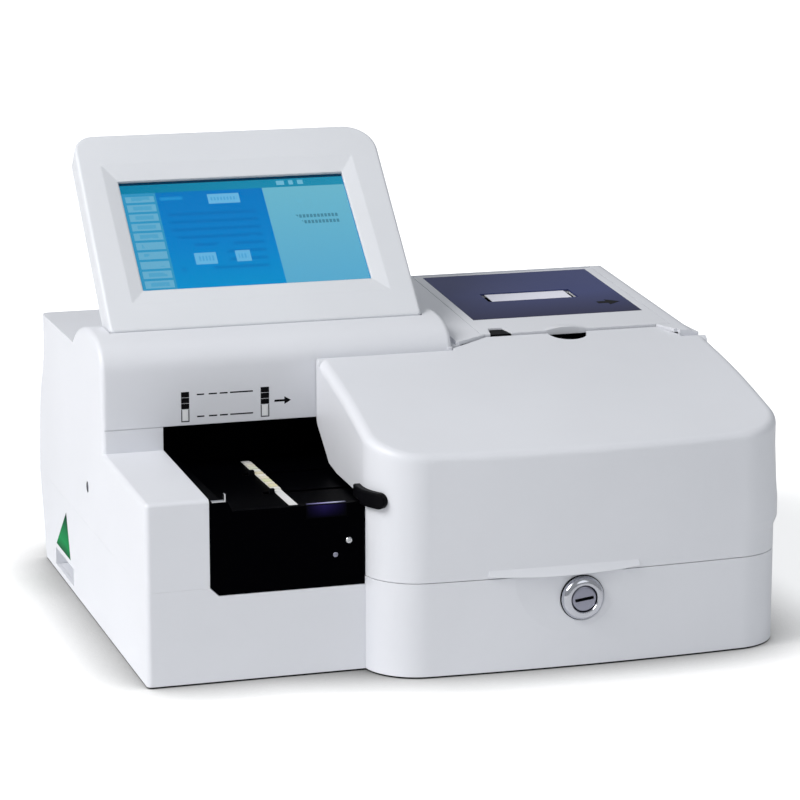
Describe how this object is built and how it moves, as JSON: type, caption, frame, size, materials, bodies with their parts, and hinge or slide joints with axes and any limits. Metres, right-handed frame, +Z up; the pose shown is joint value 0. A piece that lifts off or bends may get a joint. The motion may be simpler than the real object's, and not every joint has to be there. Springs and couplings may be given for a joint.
{
  "type": "urine analyzer",
  "caption": "Bench-top urine strip reader: lift-up front cover over a strip bay, fold-down colour display, slip printer under a hinged lid, key lock and rear connectors.",
  "frame": {"origin": "on the ground under the middle of the analyzer's bounding box", "axes": "+Z up, +Y to the rear, +X to the user's right; the front of the lifting cover faces -Y"},
  "size_m": [0.4102, 0.3754, 0.2999],
  "materials": {
    "casing_white": "fine satin, off-white with a cool tint",
    "casing_dark": "satin black",
    "gloss_black": "glossy black",
    "navy": "satin navy",
    "rubber": "matte",
    "chrome": "polished",
    "steel": "bright",
    "zinc": "zinc plated sheet",
    "glass": "clear",
    "screen": "lit blue",
    "board": "green circuit board",
    "green": "plain green",
    "paper": "smooth thermal paper",
    "strip": "white film",
    "pads": "pale reagent pads",
    "core": "machined",
    "lens": "charcoal",
    "supply": "grey",
    "waste": "pale grey"
  },
  "bodies": {
    "casing": {"base_shell": "casing_white", "floor_plate": "casing_white", "upper_shell": "casing_white", "rubber_feet": "rubber", "side_screws": "steel", "side_mark": "green", "lock_body": "chrome", "lock_nut": "steel", "fold_rests": "rubber", "printer_bucket": "casing_dark", "roll_spindle": "casing_dark", "paper_web": "paper", "print_head": "lens", "bay_platform": "gloss_black", "bay_front_plate": "gloss_black", "bay_screws": "steel", "strip_stop": "steel", "transport_frame": "zinc", "guide_rods": "steel", "drive_belt": "rubber", "idler_axle": "steel", "rake_motor": "supply", "reader_rods": "steel", "reader_frame": "core", "waste_box": "waste", "main_board": "board", "power_supply": "supply", "rear_panel": "supply", "mains_inlet": "casing_dark", "switch_frame": "casing_dark", "data_ports": "zinc", "fan_frame": "casing_dark"},
    "cover": {"front_cover": "casing_white", "cover_grip": "casing_dark", "hinge_pins": "steel", "lock_keeper": "zinc"},
    "display": {"display_bezel": "casing_white", "display_back": "casing_white", "touch_glass": "glass", "lcd_panel": "screen", "display_board": "board", "display_shaft": "steel", "display_screws": "steel"},
    "lid": {"printer_lid": "casing_white", "printer_plate": "navy", "lid_pins": "steel"},
    "latch": {"printer_latch": "casing_dark"},
    "lock": {"lock_plug": "chrome", "lock_cam": "zinc"},
    "strip": {"test_strip": "strip", "strip_pads": "pads"},
    "rake": {"strip_rake": "casing_dark"},
    "drive": {"drive_pulley": "core"},
    "idler": {"idler_pulley": "core"},
    "reader": {"reader_head": "lens"},
    "roll": {"paper_roll": "paper"},
    "platen": {"platen_roller": "rubber"},
    "rocker": {"power_rocker": "gloss_black"},
    "fan": {"fan_rotor": "casing_dark"}
  },
  "joints": [
    {"name": "cover_hinge", "type": "hinge", "parent": "casing", "child": "cover", "pos_m": [0, -0.03575, 0.16937], "axis": [-1, 0, 0], "range_deg": [0, 70]},
    {"name": "display_tilt", "type": "hinge", "parent": "casing", "child": "display", "pos_m": [-0.0886, 0.01295, 0.18379], "axis": [-1, 0, 0], "range_deg": [0, 40]},
    {"name": "lid_hinge", "type": "hinge", "parent": "casing", "child": "lid", "pos_m": [0.1196, 0.13525, 0.18697], "axis": [-1, 0, 0], "range_deg": [0, 80]},
    {"name": "latch_slide", "type": "slide", "parent": "lid", "child": "latch", "axis": [0, 0.9967, 0.0812], "range_m": [0, 0.0015], "stiffness_N_per_m": 150},
    {"name": "lock_turn", "type": "hinge", "parent": "casing", "child": "lock", "pos_m": [0.0629, -0.17175, 0.044], "axis": [0, 1, 0], "range_deg": [0, 90]},
    {"name": "rake_slide", "type": "slide", "parent": "casing", "child": "rake", "axis": [1, 0, 0], "range_m": [0, 0.15]},
    {"name": "strip_slide", "type": "slide", "parent": "casing", "child": "strip", "axis": [1, 0, 0], "range_m": [-0.001, 0.151]},
    {"name": "drive_spin", "type": "hinge", "parent": "casing", "child": "drive", "pos_m": [-0.1481, -0.07975, 0.08], "axis": [0, 1, 0], "range_deg": [-8, 1291]},
    {"name": "idler_spin", "type": "hinge", "parent": "casing", "child": "idler", "pos_m": [0.0769, -0.07975, 0.08], "axis": [0, 1, 0], "range_deg": [-8, 1291]},
    {"name": "reader_slide", "type": "slide", "parent": "casing", "child": "reader", "axis": [0, 1, 0], "range_m": [0, 0.095]},
    {"name": "paper_spin", "type": "hinge", "parent": "casing", "child": "roll", "pos_m": [0.1166, 0.09825, 0.149], "axis": [1, 0, 0], "continuous": true},
    {"name": "platen_spin", "type": "hinge", "parent": "casing", "child": "platen", "pos_m": [0.1166, 0.06085, 0.172], "axis": [1, 0, 0], "continuous": true},
    {"name": "power_rock", "type": "hinge", "parent": "casing", "child": "rocker", "pos_m": [0.1039, 0.15625, 0.0342], "axis": [1, 0, 0], "range_deg": [-16, 0]},
    {"name": "fan_spin", "type": "hinge", "parent": "casing", "child": "fan", "pos_m": [0.0629, 0.15525, 0.0342], "axis": [0, 1, 0], "continuous": true}
  ],
  "couplings": [
    {"joint": "strip_slide", "follows": "rake_slide", "ratio": 1},
    {"joint": "drive_spin", "follows": "rake_slide", "rad_per_m": 149.25},
    {"joint": "idler_spin", "follows": "rake_slide", "rad_per_m": 149.25},
    {"joint": "platen_spin", "follows": "paper_spin", "ratio": -3.8182}
  ]
}
